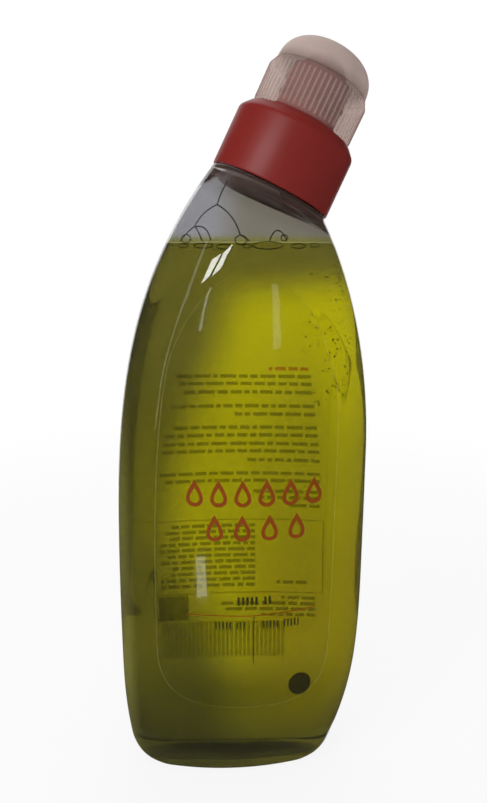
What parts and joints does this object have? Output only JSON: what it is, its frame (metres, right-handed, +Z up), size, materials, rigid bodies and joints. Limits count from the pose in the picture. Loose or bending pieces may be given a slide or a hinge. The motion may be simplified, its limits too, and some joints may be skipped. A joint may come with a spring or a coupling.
{
  "type": "toilet cleaner bottle",
  "caption": "Clear oval bottle with a sideways-leaning neck, yellow-green liquid, red closure with a nozzle, and a frosted ribbed overcap that pulls off.",
  "frame": {"origin": "on the surface that the bottle stands on, midway between the belly's left and right sides and its front and back", "axes": "+Z up, +X the way the neck leans, the front label faces -Y"},
  "size_m": [0.092, 0.065, 0.2608],
  "materials": {
    "clear_pet": "clear, glossy",
    "cleaner": "clear yellow-green liquid",
    "red_plastic": "satin, fine moulded",
    "frosted_plastic": "frosted translucent",
    "film": "clear printed film"
  },
  "bodies": {
    "bottle": {"bottle": "clear_pet", "liquid": "cleaner", "collar": "red_plastic", "front_label": "film", "back_label": "film"},
    "overcap": {"overcap": "frosted_plastic"}
  },
  "joints": [
    {"name": "overcap_lift", "type": "slide", "parent": "bottle", "child": "overcap", "axis": [0.4305, 0, 0.9026], "range_m": [0, 0.06]}
  ]
}
